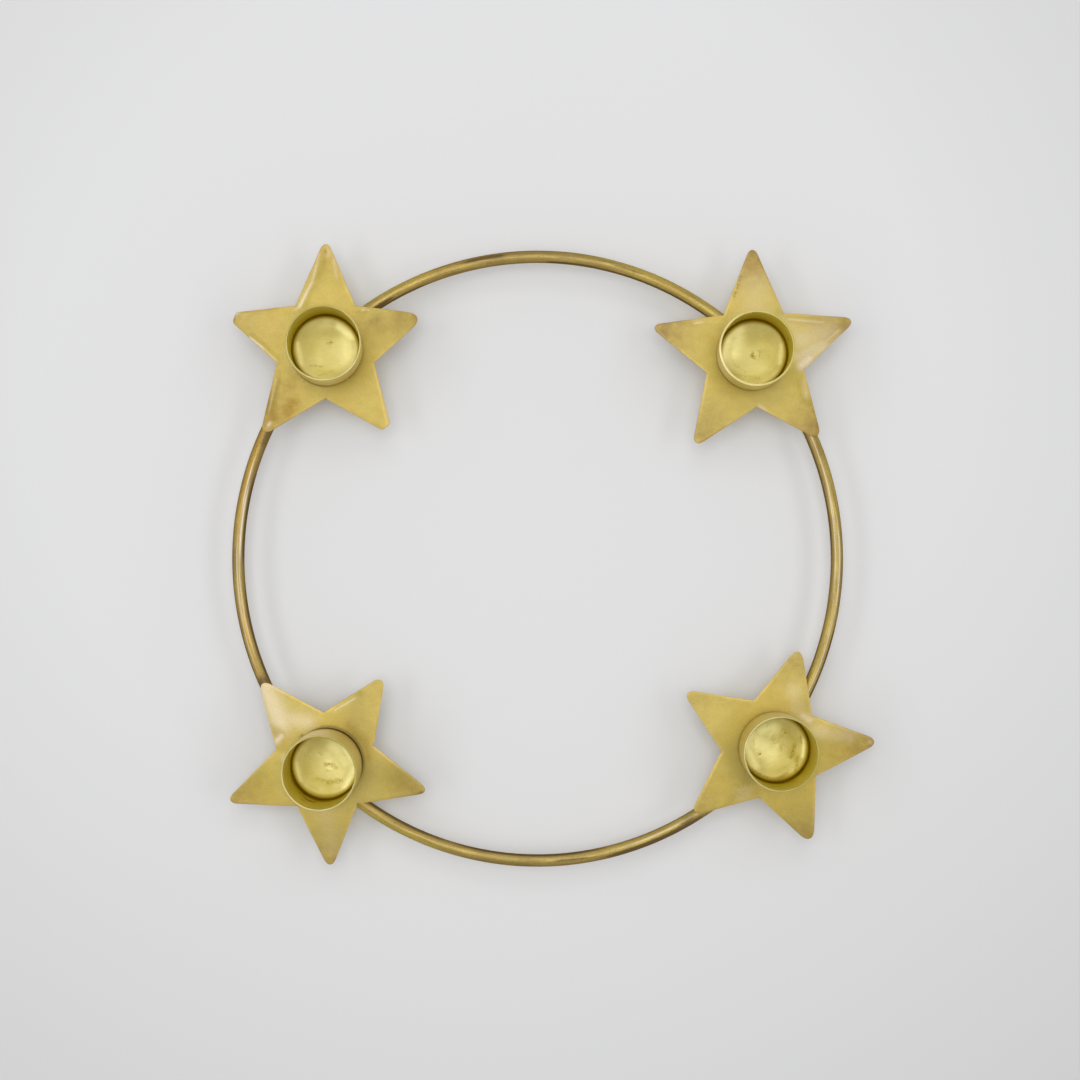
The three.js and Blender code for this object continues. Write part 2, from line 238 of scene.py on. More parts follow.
# Where a cup's looks change, in mm: radii from its axis and heights over its foot
OUTSIDE_BAND = (11.45, 11.6)
OUTSIDE_FROM = 11.5
BOTTOM_TOP = 1.5
WALL_BAND = (1.2, 1.6)
RIM_BAND = (21.82, 21.96)
# How much painted shade the rim gets away from its brightest bearing
RIM_SHADING = 0.4
# Painted shade round the bottom's crease: a gold band, then brown
GOLD_BAND = (9.4, 10.3)
BROWN_BAND = (9.8, 10.9)
# How high up the wall the crease's painted shade reaches
CREASE_TOP = 4.2
CREASE_FULL = 1.6
CREASE_RISE = 6  # how much higher the crease's brown reaches where it is wider
# Painted shade along the foot of the cup's outside
FOOT_TOP = 1.4
FOOT_FADE = 0.5
# The spot weld's little crater: radius and height of each ring, in mm
PIP_RINGS = [(1.7, 0), (1.45, 0.012), (1.2, 0.02), (0.95, 0), (0.7, -0.03), (0.45, -0.045), (0.2, -0.04)]
# Marks on each cup's bottom, as painted strokes in mm from the middle of its rim
CUP_MARKS = {
    "rear_left": [(-6.4, -5.1, -2.8, -5.4, 0.75, 0.42), (-4.2, -8.4, 0.4, -7, 0.45, 0.4),
                  (0.4, -7, 2.4, -5.6, 0.4, 0.35), (-1.4, 2.6, 0.6, 2.4, 0.6, 0.35)],
    "rear_right": [(1.2, -0.2, 1.8, -0.5, 0.4, 0.62), (7, -5.5, 7.3, -5.3, 0.5, 0.45),
                   (-5.6, -6.4, 3.4, -7.6, 1.5, 0.33), (-4.5, -3.5, -1, -5.8, 1, 0.3)],
    "front_right": [(-4.2, -2.6, -4.15, -2.6, 0.45, 0.9), (7, 0.4, 6, -3.4, 1.6, 0.46),
                    (7.6, -4.6, 8, -3.6, 1.4, 0.46), (7.3, -8, 7.9, -5.6, 1.1, 0.46),
                    (4.2, 4.6, 4, 4.4, 0.7, 0.5), (9, 3.5, 9.3, 1.2, 0.8, 0.42),
                    (-6.3, 1.9, -5.6, 0.5, 0.35, 0.42), (-7.1, -7.6, -2, -10.1, 1.1, 0.46),
                    (4.6, -8.8, 1.7, -10.3, 1.1, 0.46), (-2, 6.6, -1.9, 6.6, 0.4, 0.5),
                    (3.4, 5.6, 5.4, 4.2, 1.4, 0.33)],
    "front_left": [(-3, -4.4, 0.5, -5.4, 1.3, 0.36), (0.5, -5.6, 4.6, -5, 1.7, 0.42),
                   (-3, 4.1, -1.6, 3.2, 0.45, 0.38), (-6.6, 3, -4.8, 5.6, 1.8, 0.3),
                   (4.6, 6.4, 5, 6.2, 0.5, 0.35), (-0.4, 0.4, 3.2, -0.8, 1.7, 0.33)],
}
# Soft darker zones on each bottom
CUP_SHADES = {
    "rear_left": [(-6, 1, -3.5, 5, 3, 0.35), (-3.5, 5, 1.5, 5.6, 2.6, 0.4),
                  (-4.2, -7.2, 2.5, -8.4, 1.8, 0.5)],
    "rear_right": [(-0.5, 6, 5, 4.5, 3, 0.4), (5, 4.5, 6.5, -1, 2.8, 0.3), (-5.5, -6, -2, -8, 1.5, 0.55),
                   (0, -8.4, 6.5, -6.4, 1.9, 0.5), (8.2, -4.8, 9, -4, 1.4, 0.4)],
    "front_right": [(4, 5.5, 7.5, 2, 2.6, 0.5), (5.5, -2, 7.5, -4, 2.4, 0.5),
                    (-0.5, -8.4, 4.4, -7.4, 1.4, 0.3)],
    "front_left": [(-6.5, 2, -6, -2.5, 3, 0.4), (-5, 5.5, -2, 7, 2.4, 0.3), (-4, -4.6, 0.5, -6.2, 2, 0.55),
                   (-4.4, 7, -2.5, 7.8, 1.6, 0.4), (-5, -6.8, -3.4, -7.6, 1.4, 0.4)],
}
# Brighter zones on each bottom
CUP_LIGHTS = {
    "rear_left": [(2.6, 7.6, 6.6, 4.2, 1.6, 0.85), (5, 3.4, 5.4, -2, 3, 0.3),
                  (-10.8, 2, -9.6, -4.5, 0.9, 0.55)],
    "rear_right": [(-3, 8, -7, 5, 2, 0.75), (-7, 5, -8.3, -0.5, 2.4, 0.95),
                   (-3.6, 6.4, -5.2, 0.6, 2.8, 0.65), (10.3, 3, 9.9, -2.5, 0.9, 0.5)],
    "front_right": [(-6.5, 2, -1, -2.5, 4, 0.8), (-7, 4.6, -8.4, 0, 1.8, 1),
                    (-8.4, 0, -5.6, -6.2, 1.7, 0.9), (-4, 5.2, 0.5, 6.2, 2.4, 0.7),
                    (10.2, 2, 9.8, -3, 0.9, 0.9)],
    "front_left": [(1, 1.5, 4, -2.5, 4, 0.5), (9, -1, 6.3, -7, 1.6, 0.95), (-9.8, 0.6, -8.6, -5, 0.9, 0.5),
                   (2.6, 5.6, 6, 1, 3, 0.65), (4.6, 7.6, 8.6, 1, 1.8, 0.85)],
}
# Small dents and ridges in each bottom: (start, end, drop, reach), in mm
CUP_DENTS = {
    "rear_left": [((-1.2, 2.9), (-0.5, 2.6), 0.05, 0.7), ((-0.6, 1.9), (0.3, 1.7), -0.05, 0.7),
                  ((-4.2, -8.2), (1.4, -6.5), 0.05, 1), ((-1.8, 6), (0.6, 6.2), 0.08, 3.5)],
    "rear_right": [((1.2, -0.2), (1.8, -0.5), 0.14, 0.8), ((2.4, -0.2), (2.8, 0.6), -0.08, 0.9),
                   ((0.6, 0.4), (0.3, -0.4), -0.06, 0.9), ((3.6, 4.6), (5.6, 3.2), 0.08, 3.5)],
    "front_right": [((-0.4, 3.1), (0.2, 2.7), -0.06, 0.8), ((1.8, 4.1), (2.4, 3.8), -0.06, 0.7),
                    ((0.9, 1.6), (1.4, 1), 0.05, 0.9), ((1.6, 0.2), (2.2, -0.9), -0.06, 0.8),
                    ((-1.2, 4.4), (-0.6, 4.8), 0.04, 0.8), ((3.2, -0.8), (3.6, -0.2), 0.05, 0.8),
                    ((-6.3, 1.9), (-5.7, 0.6), 0.05, 0.7), ((5.4, -1.6), (6.8, -3.4), 0.06, 1.6),
                    ((-4.2, -2.6), (-4.2, -2.6), 0.07, 0.7), ((6, 2), (7.4, 0.2), 0.05, 1.4)],
    "front_left": [((0, 0.4), (0.5, 0.9), -0.05, 0.7), ((1.6, -0.6), (1.9, 0), 0.05, 0.7),
                   ((2.8, 0.4), (3.2, 0), -0.04, 0.7), ((0.6, -1.2), (1, -0.9), -0.04, 0.6),
                   ((-2.6, 4), (-1.8, 3.4), 0.05, 0.6)],
}
# Dark stains on a cup's inner wall: (site, bearing, then height, half width and half height in mm, strength)
WALL_STAINS = [("front_left", 246, 9, 3, 1.6, 0.8), ("front_left", 238, 13, 2.4, 1.3, 0.6),
               ("front_left", 262, 5, 2.5, 1.5, 0.5), ("front_left", 228, 7, 2.6, 1.4, 0.5),
               ("front_left", 203, 5, 3, 2.5, 0.5), ("rear_left", 60, 10, 3, 3, 0.4),
               ("front_right", 300, 8, 2.5, 3, 0.4), ("rear_right", 20, 12, 2.5, 3, 0.4)]

# The camera hangs over a point a little off the ring's centre
CAMERA_OFF_CENTRE = Vector((0.98 * MM, 6.1 * MM, 0))
CAMERA_HEIGHT = 608 * MM
CAMERA_LENS = 60.9
SENSOR = 36.0


def deselect():
    if bpy.context.object and bpy.context.object.mode == "EDIT":
        bpy.ops.object.mode_set(mode="OBJECT")
    bpy.ops.object.select_all(action="DESELECT")


def only(piece):
    """Select one piece and nothing else."""
    deselect()
    piece.select_set(True)
    bpy.context.view_layer.objects.active = piece


def finish_piece(piece, name, node, material):
    """Name a finished piece, give it its material and let it stand for its CAD node."""
    piece.name = name
    piece.data.name = name
    piece.data.materials.clear()
    piece.data.materials.append(material)
    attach(piece, "root")
    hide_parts(node)


def apply_place(piece):
    only(piece)
    bpy.ops.object.transform_apply(location=True, rotation=True, scale=True)


def edit(piece):
    bpy.context.view_layer.objects.active = piece
    bpy.ops.object.mode_set(mode="EDIT")


def pick(piece, test, kind="VERT"):
    """In edit mode, select the vertices, edges or faces that pass the test."""
    mesh = bmesh.from_edit_mesh(piece.data)
    bpy.context.tool_settings.mesh_select_mode = (kind == "VERT", kind == "EDGE", kind == "FACE")
    mesh.select_mode = {kind}
    for group in (mesh.verts, mesh.edges, mesh.faces):
        for item in group:
            item.select_set(False)
    for item in {"VERT": mesh.verts, "EDGE": mesh.edges, "FACE": mesh.faces}[kind]:
        if test(item):
            item.select_set(True)
    mesh.select_flush_mode()
    bmesh.update_edit_mesh(piece.data)


def grow(centre, share, rise):
    """Extrude the selected loop, scale the new one about the centre and lift it."""
    bpy.ops.mesh.extrude_region()
    bpy.ops.transform.resize(value=(share, share, 1), center_override=centre)
    bpy.ops.transform.translate(value=(0, 0, rise))


def modify(piece, kind, **settings):
    """Add a modifier and apply it."""
    if bpy.context.object.mode == "EDIT":
        bpy.ops.object.mode_set(mode="OBJECT")
    modifier = piece.modifiers.new(kind.lower(), kind)
    for key, value in settings.items():
        setattr(modifier, key, value)
    bpy.context.view_layer.objects.active = piece
    bpy.ops.object.modifier_apply(modifier=modifier.name)


def smooth(piece):
    only(piece)
    bpy.ops.object.shade_smooth_by_angle(angle=SMOOTH_BELOW)


def face_up(piece):
    """Turn an open sheet's faces so that they look upwards."""
    mesh = bmesh.from_edit_mesh(piece.data)
    down = sum(1 if f.normal.z < 0 else -1 for f in mesh.faces)
    if down > 0:
        bpy.ops.mesh.select_all(action="SELECT")
        bpy.ops.mesh.flip_normals()


def paint(piece, **values):
    """Keep numbers for each vertex, worked out from its place, for the material to read."""
    for name, value in values.items():
        layer = piece.data.attributes.new(name, "FLOAT", "POINT")
        for vertex, kept in zip(piece.data.vertices, layer.data):
            kept.value = value(vertex.co)


def paint_place(piece, name, origin):
    """Keep each vertex's place from an origin, in mm, for the material to read."""
    layer = piece.data.attributes.new(name, "FLOAT_VECTOR", "POINT")
    for vertex, kept in zip(piece.data.vertices, layer.data):
        kept.vector = ((vertex.co.x - origin.x) / MM, (vertex.co.y - origin.y) / MM, 0)


def cover(x, y, strokes):
    """How strongly painted strokes cover a place; a stroke is (x0, y0, x1, y1, width, strength)."""
    most = 0.0
    for x0, y0, x1, y1, width, strength in strokes:
        dx, dy = x1 - x0, y1 - y0
        length = dx * dx + dy * dy
        along = 0 if length == 0 else held(((x - x0) * dx + (y - y0) * dy) / length)
        gap = math.hypot(x - x0 - dx * along, y - y0 - dy * along) / width
        most = max(most, strength * math.exp(-STROKE_FALL * gap * gap))
    return most


def spot(flat):
    """A flat place, in mm, as a vector in metres."""
    return Vector((*flat, 0)) * MM


def turned_by(degrees, length):
    angle = math.radians(degrees)
    return Vector((math.cos(angle) * length, math.sin(angle) * length, 0))


def bearing_of(offset):
    return math.degrees(math.atan2(offset.y, offset.x))


def bearing_gap(first, second):
    return abs((first - second + 180) % 360 - 180)


def near_bearing(bearing, middle, half_width):
    """A share that falls from 1 at the middle bearing."""
    return math.exp(-(bearing_gap(bearing, middle) / half_width) ** 2)


def held(value):
    """Keep a share from 0 to 1."""
    return max(0, min(1, value))


# Materials

class Graph:
    """A material's nodes, with short calls for the ones that all the materials use."""

    def __init__(self, name):
        self.material = bpy.data.materials.new(name)
        self.material.use_nodes = True
        self.nodes = self.material.node_tree.nodes
        self.links = self.material.node_tree.links
        self.shader = self.nodes["Principled BSDF"]
        self.place = self.nodes.new("ShaderNodeTexCoord").outputs["Object"]

    def put(self, socket, value):
        if isinstance(value, bpy.types.NodeSocket):
            self.links.new(value, socket)
        else:
            socket.default_value = value

    def attribute(self, name, output="Fac"):
        made = self.nodes.new("ShaderNodeAttribute")
        made.attribute_name = name
        return made.outputs[output]

    def calc(self, operation, first, second=0.0, clamp=True):
        made = self.nodes.new("ShaderNodeMath")
        made.operation = operation
        made.use_clamp = clamp
        self.put(made.inputs[0], first)
        self.put(made.inputs[1], second)
        return made.outputs[0]

    def times(self, first, second, clamp=True):
        return self.calc("MULTIPLY", first, second, clamp)

    def weigh(self, first, share, second):
        """Add two values: the given share of the first and the rest of the second."""
        return self.calc("ADD", self.times(first, share), self.times(second, round(1 - share, 2)))

    def spread(self, value, low, high, start=0.0, end=1.0):
        """Carry the range low to high over to start to end, clamped."""
        made = self.nodes.new("ShaderNodeMapRange")
        self.put(made.inputs["Value"], value)
        made.inputs["From Min"].default_value = low
        made.inputs["From Max"].default_value = high
        made.inputs["To Min"].default_value = start
        made.inputs["To Max"].default_value = end
        return made.outputs["Result"]

    def blend(self, share, first, second):
        made = self.nodes.new("ShaderNodeMix")
        made.data_type = "RGBA"
        self.put(made.inputs["Factor"], share)
        for socket, value in ((made.inputs["A"], first), (made.inputs["B"], second)):
            self.put(socket, value if isinstance(value, bpy.types.NodeSocket) else (*value, 1))
        return made.outputs["Result"]

    def over(self, share, colour):
        self.colour = self.blend(share, self.colour, colour)

    def noise(self, size, detail=2.0, roughness=0.5, vector=None, warp=0.0):
        """Noise whose grain has the given size, in mm along x, y and z."""
        mapping = self.nodes.new("ShaderNodeMapping")
        self.put(mapping.inputs["Vector"], vector or self.place)
        mapping.inputs["Scale"].default_value = [1 / (MM * side) for side in size]
        made = self.nodes.new("ShaderNodeTexNoise")
        self.put(made.inputs["Vector"], mapping.outputs["Vector"])
        made.inputs["Scale"].default_value = 1
        made.inputs["Detail"].default_value = detail
        made.inputs["Roughness"].default_value = roughness
        made.inputs["Distortion"].default_value = warp
        return made.outputs["Fac"]

    def combine(self, x, y, z):
        made = self.nodes.new("ShaderNodeCombineXYZ")
        for socket, value in zip(made.inputs, (x, y, z)):
            self.put(socket, value)
        return made.outputs["Vector"]

    def ragged(self, share, noise):
        """Break a painted share up into dots and ragged edges."""
        return self.spread(self.calc("ADD", share, self.times(noise, 0.8), clamp=False), 0.66, 0.95)

    def distance(self, first, second):
        made = self.nodes.new("ShaderNodeVectorMath")
        made.operation = "DISTANCE"
        self.put(made.inputs[0], first)
        self.put(made.inputs[1], second)
        return made.outputs["Value"]

    def bump(self, height, depth):
        made = self.nodes.new("ShaderNodeBump")
        made.inputs["Strength"].default_value = 1
        made.inputs["Distance"].default_value = depth * MM
        self.put(made.inputs["Height"], height)
        self.put(self.shader.inputs["Normal"], made.outputs["Normal"])

    def finish(self, roughness, tint, coat=0.0, coat_roughness=0.15):
        self.put(self.shader.inputs["Base Color"], self.colour)
        self.put(self.shader.inputs["Roughness"], roughness)
        self.put(self.shader.inputs["Coat Weight"], coat)
        self.put(self.shader.inputs["Coat Roughness"], coat_roughness)
        self.shader.inputs["Metallic"].default_value = 1
        self.shader.inputs["Coat IOR"].default_value = LACQUER_IOR
        self.shader.inputs["Specular Tint"].default_value = (*tint, 1)
        return self.material


LACQUER_IOR = 1.6
OLIVE_BRASS = (0.665, 0.54, 0.14)
WARM_BRASS = (0.685, 0.53, 0.13)
# The sheet's edge colour with a painted edge highlight
EDGE_BRASS_AND_HIGHLIGHT = (0.81, 0.62, 0.20)
# Painted highlight colour, on the plates and on one side of the cups' outside
HIGHLIGHT_PALE = (0.94, 0.82, 0.61)
# Painted shade on the plates, and drawn streaks on the cups' outside
SHADE_AND_STREAK_BRASS = (0.40, 0.325, 0.09)
TIP_BROWN = (0.36, 0.235, 0.08)
RUST_BROWN = (0.42, 0.255, 0.03)
# Dirt, and painted shade in the notches and at the cups' foot
DIRT_AND_SHADE = (0.07, 0.05, 0.03)
STAIN_BROWN = (0.24, 0.15, 0.05)
GRAIN_BROWN = (0.26, 0.18, 0.04)
FLECK_BROWN = (0.25, 0.17, 0.03)
PLATE_EDGE_TINT = (0.8, 0.62, 0.3)  # the colour at grazing angles
CUP_BRASS = (0.80, 0.71, 0.29)
CUP_GREEN = (0.76, 0.67, 0.24)
CUP_SHADE = (0.60, 0.49, 0.09)
CUP_PALE = (1.0, 0.92, 0.43)
CUP_MARK = (0.38, 0.26, 0.0)
# Rim wear, and painted shade on the rim
CUP_WORN_AND_SHADED = (0.45, 0.37, 0.06)
# Inner wall colours: painted shade deep down, lighter near the rim
DEEP_WALL_SHADE = (0.62, 0.505, 0.015)
HIGH_WALL_LIT = (0.84, 0.74, 0.21)
CUP_TAN = (0.70, 0.57, 0.20)
CUP_RIM = (0.82, 0.73, 0.37)
# Painted shade round the bottom's crease
CREASE_SHADE_GOLD = (0.64, 0.47, 0.05)
CREASE_SHADE_BROWN = (0.34, 0.23, 0.008)
CUP_EDGE_TINT = (0.88, 0.83, 0.45)
ROD_GOLD = (0.64, 0.485, 0.135)
ROD_TAN = (0.46, 0.325, 0.10)
ROD_ORANGE = (0.66, 0.40, 0.06)
ROD_PALE = (0.97, 0.88, 0.70)
ROD_BROWN = (0.29, 0.195, 0.065)
ROD_DARK = (0.16, 0.105, 0.035)
ROD_OLIVE = (0.64, 0.52, 0.10)
ROD_EDGE_TINT = (0.30, 0.20, 0.10)
BRAZE_GOLD = (0.56, 0.40, 0.14)


def plate_material():
    g = Graph("plate_brass")
    cloud = g.noise((16, 12, 16), detail=3)
    patch = g.noise((3.2, 2.6, 3.2), detail=3, roughness=0.6)
    grain = g.noise((0.75, 0.3, 0.3), detail=3, roughness=0.65)
    fleck = g.noise((0.7, 0.7, 0.7), detail=4, roughness=0.75)
    g.colour = g.blend(g.spread(cloud, 0.35, 0.65), OLIVE_BRASS, WARM_BRASS)
    g.over(g.spread(patch, 0.35, 0.75, 0, 0.08), TIP_BROWN)
    # Brighter brass along the sheet's edges: its edge colour and a painted edge highlight
    rim = g.spread(g.attribute("edge_gap"), *EDGE_BAND, 0.85, 0.0)
    g.over(rim, EDGE_BRASS_AND_HIGHLIGHT)
    ragged = g.spread(patch, 0.3, 0.7, 0.6, 1.2)
    g.over(g.times(g.attribute("tip"), ragged), TIP_BROWN)
    g.over(g.times(g.attribute("rust"), ragged), RUST_BROWN)
    # Painted shade: darker zones beside the cups and on some arms
    g.over(g.attribute("dull"), SHADE_AND_STREAK_BRASS)
    # Painted highlights: pale sheen where the lacquer would catch the lights
    highlight_share = g.attribute("bloom")
    g.over(g.times(highlight_share, g.spread(patch, 0.3, 0.7, 0.75, 1.0)), HIGHLIGHT_PALE)
    from_cup = g.distance(g.attribute("from_cup", "Vector"), (0, 0, 0))
    contact = g.attribute("contact")
    patina = g.times(contact, g.spread(from_cup, *PATINA_BAND))
    g.over(g.times(g.ragged(patina, fleck), 0.5), STAIN_BROWN)
    # A painted shade line round the cup's foot
    line = g.times(contact, g.spread(from_cup, *FOOT_SHADE_BAND))
    g.over(line, DIRT_AND_SHADE)
    broken = g.spread(fleck, 0.38, 0.6, 0.2, 1.0)
    # Dirt strokes, and painted shade in the notches
    g.over(g.times(g.attribute("dirt"), broken), DIRT_AND_SHADE)
    g.over(g.spread(fleck, 0.67, 0.74, 0, 0.35), DIRT_AND_SHADE)
    g.over(g.spread(grain, 0.25, 0.75, 0.0, 0.16), GRAIN_BROWN)
    roughness = g.spread(g.weigh(patch, 0.4, grain), 0.3, 0.7, 0.54, 0.66)
    g.bump(g.weigh(grain, 0.75, patch), 0.022)
    coat = g.spread(highlight_share, 0, 1, 0.2, 0.7)
    return g.finish(roughness, PLATE_EDGE_TINT, coat, coat_roughness=0.2)


def cup_material():
    g = Graph("cup_brass")
    radius = g.attribute("radius")
    height = g.attribute("height")
    cloud = g.noise((7, 7, 7), detail=3)
    fleck = g.noise((0.8, 0.8, 0.8), detail=4, roughness=0.7)
    mottle = g.noise((1.6, 1.1, 1.6), detail=4, roughness=0.7, warp=0.4)
    across = g.combine(g.times(radius, 2.6 * MM, clamp=False), 0.0, 0.0)
    turning = g.noise((1, 1, 1), detail=3, vector=across)
    g.colour = g.blend(g.spread(cloud, 0.3, 0.7), CUP_BRASS, CUP_GREEN)
    g.over(g.attribute("shade"), CUP_SHADE)
    g.over(g.attribute("light"), CUP_PALE)
    g.over(g.spread(turning, 0.3, 0.75, 0, 0.06), RUST_BROWN)
    g.over(g.spread(mottle, 0.48, 0.7, 0, 0.12), RUST_BROWN)
    outside = g.spread(radius, *OUTSIDE_BAND)
    # The inner wall: painted shade deep down, lighter towards the rim
    wall = g.blend(g.spread(height, BOTTOM_TOP, 21), DEEP_WALL_SHADE, HIGH_WALL_LIT)
    wall = g.blend(outside, wall, CUP_TAN)
    drawn = g.noise((1.3, 1.3, 14), detail=3, roughness=0.6)
    wall = g.blend(g.times(outside, g.spread(drawn, 0.4, 0.7, 0, 0.14)), wall, SHADE_AND_STREAK_BRASS)
    halo = g.times(g.spread(height, 3.2, 0.8), g.spread(mottle, 0.35, 0.6, 0.1, 0.6))
    wall = g.blend(g.times(outside, halo), wall, RUST_BROWN)
    # Painted highlight on one side of the outer wall
    wall = g.blend(g.attribute("pale"), wall, HIGHLIGHT_PALE)
    on_wall = g.calc("MAXIMUM", g.spread(height, *WALL_BAND), outside)
    g.over(on_wall, wall)
    # The rim: random wear, and painted shade away from its brightest bearing
    rim_worn_and_shaded = g.blend(g.spread(cloud, 0.35, 0.6, 0, 0.3), CUP_RIM, CUP_WORN_AND_SHADED)
    rim_worn_and_shaded = g.blend(g.attribute("rim_dull"), rim_worn_and_shaded, CUP_WORN_AND_SHADED)
    g.over(g.spread(height, *RIM_BAND), rim_worn_and_shaded)
    # Painted shade round the bottom's crease
    crease = g.attribute("crease")
    low = g.attribute("low")
    g.over(g.times(g.spread(crease, *GOLD_BAND, 0, 0.75), low), CREASE_SHADE_GOLD)
    g.over(g.times(g.spread(crease, *BROWN_BAND, 0, 0.97), low), CREASE_SHADE_BROWN)
    stained = g.blend(g.spread(height, 1.4, 1.8), CUP_MARK, STAIN_BROWN)
    speck = g.noise((0.5, 0.5, 0.5), detail=3, roughness=0.7)
    g.over(g.times(g.ragged(g.attribute("stain"), speck), 0.85), stained)
    # Painted shade at the foot of the cup's outside
    g.over(g.attribute("foot"), DIRT_AND_SHADE)
    g.over(g.spread(fleck, 0.66, 0.73, 0, 0.4), FLECK_BROWN)
    roughness = g.spread(g.weigh(cloud, 0.5, turning), 0.3, 0.7, 0.5, 0.6)
    roughness = g.calc("SUBTRACT", roughness, g.times(g.attribute("light"), 0.085))
    g.bump(g.weigh(turning, 0.3, mottle), 0.035)
    return g.finish(roughness, CUP_EDGE_TINT, coat=0.08, coat_roughness=0.2)


def rod_material():
    g = Graph("rod_brass")
    around = g.attribute("around")
    flat = g.nodes.new("ShaderNodeSeparateXYZ")
    g.put(flat.inputs[0], g.place)
    turn = g.times(around, 40 * MM, clamp=False)
    along = g.combine(flat.outputs["X"], flat.outputs["Y"], turn)
    streak = g.noise((12, 12, 3.0), detail=4, roughness=0.65, vector=along)
    scratch = g.noise((14, 14, 1.2), detail=3, roughness=0.6, vector=along)
    blotch = g.noise((9, 9, 9), detail=4, roughness=0.6)
    fine = g.noise((0.55, 0.55, 0.55), detail=4, roughness=0.7)
    worn = g.calc("ADD", g.spread(streak, 0.38, 0.62, 0, 0.6), g.spread(blotch, 0.4, 0.65, 0, 0.4))
    gilt = g.attribute("gilt")
    beside = g.attribute("side")
    side = g.times(g.spread(beside, 0.5, 0.98, 0, 0.9), g.spread(gilt, 0, 1, 1.0, 0.2))
    g.colour = g.blend(worn, ROD_GOLD, ROD_TAN)
    warm = g.times(g.attribute("warm"), g.spread(scratch, 0.35, 0.55, 0.6, 1.0))
    g.over(warm, ROD_ORANGE)
    g.over(side, ROD_BROWN)
    g.over(g.times(gilt, g.spread(streak, 0.35, 0.6, 0.95, 0.5)), ROD_OLIVE)
    g.over(g.spread(scratch, 0.52, 0.64, 0, 0.5), ROD_BROWN)
    g.over(g.attribute("shade"), ROD_BROWN)
    heat = g.times(g.attribute("heat"), g.spread(streak, 0.35, 0.6, 0.0, 0.4))
    g.over(heat, ROD_DARK)
    g.over(g.spread(fine, 0.52, 0.7, 0, 0.5), ROD_DARK)
    mark = g.calc("ADD", g.attribute("mark"), g.times(fine, 0.35), clamp=False)
    g.over(g.spread(mark, 0.5, 0.85, 0, 0.85), ROD_DARK)
    g.over(g.attribute("shine"), ROD_PALE)
    roughness = g.spread(streak, 0.3, 0.7, 0.5, 0.62)
    g.bump(g.weigh(streak, 0.5, fine), 0.02)
    coat = g.spread(beside, 0.55, 0.95, 0.25, 0.03)
    return g.finish(roughness, ROD_EDGE_TINT, coat, coat_roughness=0.13)


def peg_material():
    g = Graph("peg_brass")
    blotch = g.noise((3, 3, 3), detail=4, roughness=0.6)
    lathe = g.noise((8, 8, 0.25), detail=3)
    g.colour = g.blend(g.spread(blotch, 0.3, 0.7), ROD_GOLD, ROD_BROWN)
    g.over(g.spread(lathe, 0.4, 0.7, 0, 0.35), ROD_BROWN)
    g.bump(lathe, 0.02)
    return g.finish(g.spread(blotch, 0.3, 0.7, 0.35, 0.5), ROD_EDGE_TINT, coat=0.3)


def braze_material():
    g = Graph("braze_brass")
    lump = g.noise((1.6, 1.6, 1.6), detail=4, roughness=0.65)
    soot = g.noise((5, 5, 5), detail=3)
    g.colour = g.blend(g.spread(soot, 0.4, 0.62), BRAZE_GOLD, ROD_BROWN)
    g.over(g.spread(lump, 0.5, 0.75, 0, 0.5), DIRT_AND_SHADE)
    g.bump(lump, 0.12)
    return g.finish(g.spread(lump, 0.3, 0.7, 0.35, 0.6), ROD_EDGE_TINT)


plate_brass = plate_material()
cup_brass = cup_material()
rod_brass = rod_material()
peg_brass = peg_material()
braze_brass = braze_material()


# Pieces

def star_centre(site):
    """Over the site's foot, a little inside the rod's middle line, at the height of the cup's base."""
    low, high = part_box(f"foot_{site}")
    out = (low + high) / 2 - RING_CENTRE
    out.z = 0
    out.normalize()
    centre = RING_CENTRE + out * RING_RADIUS - out * STARS[site]["inset"]
    cup_low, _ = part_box(f"candle_cup_{site}")
    centre.z = cup_low.z
    return centre


def press(piece, start, end, drop, reach, near=PRESS_LINE):
    """In edit mode, push the sheet down along a line, with a soft fall-off around it."""
    line = end - start

    def close(v):
        along = 0 if line.length == 0 else held((v.co - start).dot(line) / line.length_squared)
        off = v.co - start - line * along
        return math.hypot(off.x, off.y) < near

    pick(piece, close)
    bpy.ops.transform.translate(value=(0, 0, -drop), use_proportional_edit=True,
                                proportional_edit_falloff="SMOOTH", proportional_size=reach)


def star_outline(rim, facts):
    """The star's outline as a loop of edges: straight sides, sharp notches and round tips."""
    arm = math.radians(facts["arm"])
    bpy.ops.mesh.primitive_circle_add(vertices=2 * ARMS, radius=STAR_POINT, fill_type="NGON",
                                      location=rim, rotation=(0, 0, arm - math.pi / 2))
    piece = bpy.context.object
    apply_place(piece)
    edit(piece)
    pick(piece, lambda v: v.index % 2 == 1)
    shrink = STAR_NOTCH / STAR_POINT
    bpy.ops.transform.resize(value=(shrink, shrink, 1), center_override=rim)
    for k, ((longer, aside), cut) in enumerate(zip(facts["points"], facts["cuts"])):
        bearing = facts["arm"] + ARM_TURN * k
        out = turned_by(bearing, STAR_POINT)
        pick(piece, lambda v: (v.co - rim - out).length < STAR_NOTCH / 4)
        bpy.ops.transform.translate(value=turned_by(bearing, longer * MM))
        bpy.ops.transform.translate(value=turned_by(bearing + 90, aside * MM))
        if k in facts["blunt"]:
            bpy.ops.mesh.bevel(offset=cut * MM, segments=1, affect="VERTICES")
            bpy.ops.mesh.bevel(offset=BLUNT_ROUND, segments=TIP_STEPS // 2, affect="VERTICES", profile=0.5)
        else:
            bpy.ops.mesh.bevel(offset=cut * MM, segments=TIP_STEPS, affect="VERTICES", profile=0.5)
    pick(piece, lambda e: e.calc_length() > STAR_NOTCH / 2, "EDGE")
    bpy.ops.mesh.subdivide(number_cuts=EDGE_CUTS)
    pick(piece, lambda f: True, "FACE")
    bpy.ops.mesh.delete(type="ONLY_FACE")
    pick(piece, lambda e: True, "EDGE")
    return piece


